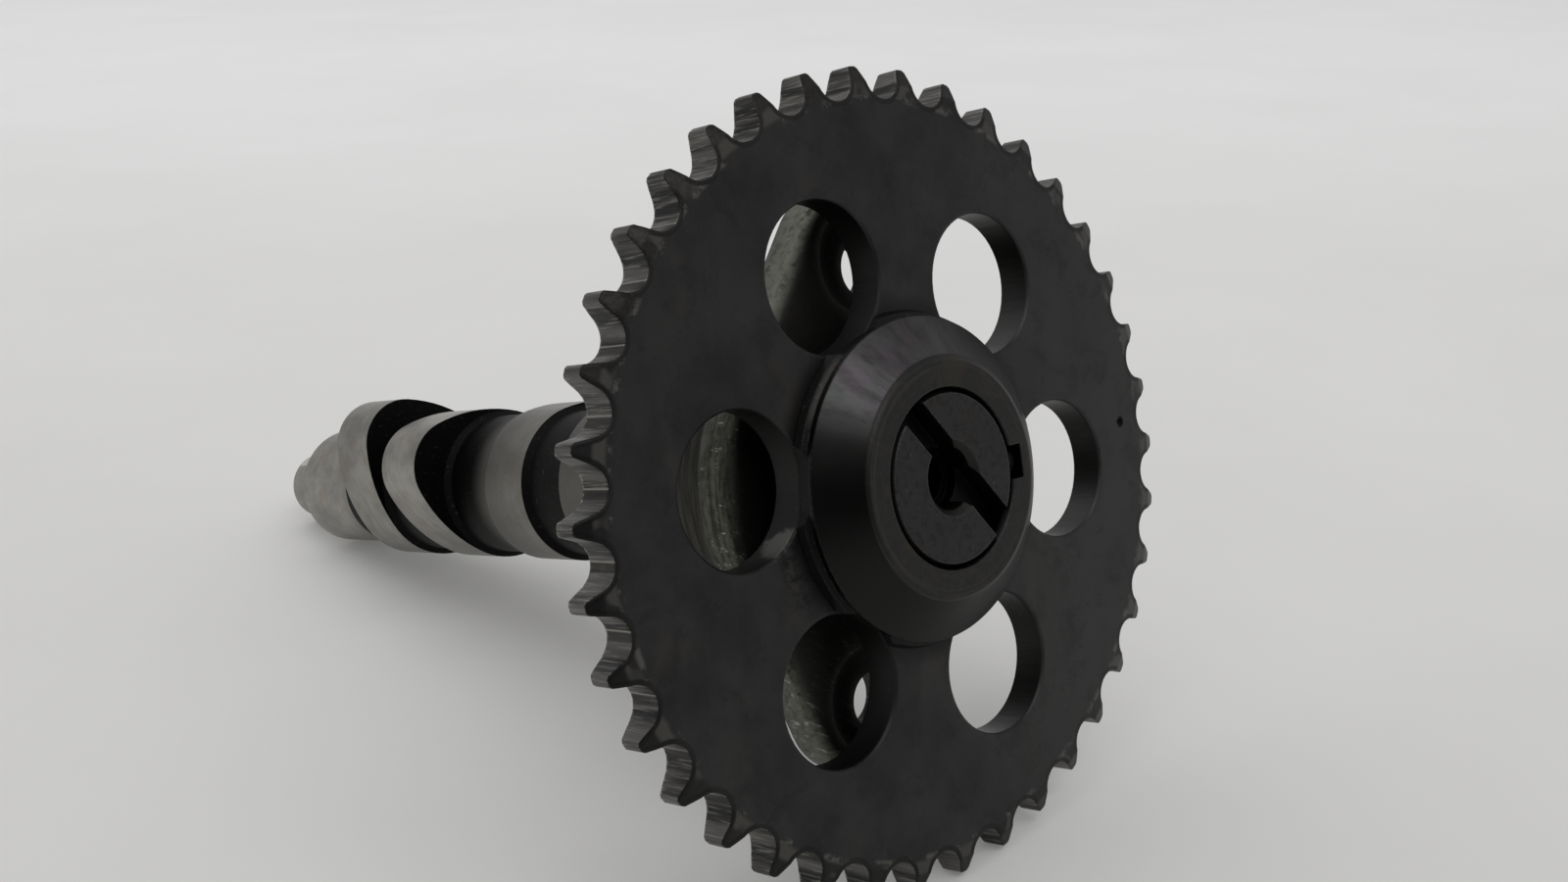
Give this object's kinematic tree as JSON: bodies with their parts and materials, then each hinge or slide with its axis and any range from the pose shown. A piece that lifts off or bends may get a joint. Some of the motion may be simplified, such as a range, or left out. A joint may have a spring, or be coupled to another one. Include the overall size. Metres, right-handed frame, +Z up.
{
  "type": "camshaft",
  "caption": "Overhead-valve camshaft with a keyed chain sprocket on its nose, cam lobes, a ground rear journal and a free-turning eared bearing flange.",
  "frame": {"origin": "centre of the bounding box on the ground plane, with the shaft lying as it comes to rest on two sprocket teeth and the end of its rear journal", "axes": "+Z up; the shaft runs along Y with its nose and sprocket towards -Y and raised, and its tail towards +Y; X is level and square to the shaft"},
  "size_m": [0.1184, 0.1942, 0.1145],
  "materials": {
    "camshaft": "black phosphate core, ground lobes and journals",
    "sprocket_plate": "black oxide, teeth worn bright",
    "sprocket_hub": "turned, heat-tinted black oxide",
    "sprocket_key": "plain drawn steel",
    "bearing_flange": "cast and machined, lightly oiled"
  },
  "bodies": {
    "camshaft_and_sprocket": {"camshaft": "camshaft", "sprocket_plate": "sprocket_plate", "sprocket_hub": "sprocket_hub", "sprocket_key": "sprocket_key"},
    "flange": {"bearing_flange": "bearing_flange"}
  },
  "joints": [
    {"name": "flange_turns_on_journal", "type": "hinge", "parent": "camshaft_and_sprocket", "child": "flange", "pos_m": [0, -0.05902, 0.05155], "axis": [0, -0.9611, 0.2763], "continuous": true}
  ]
}
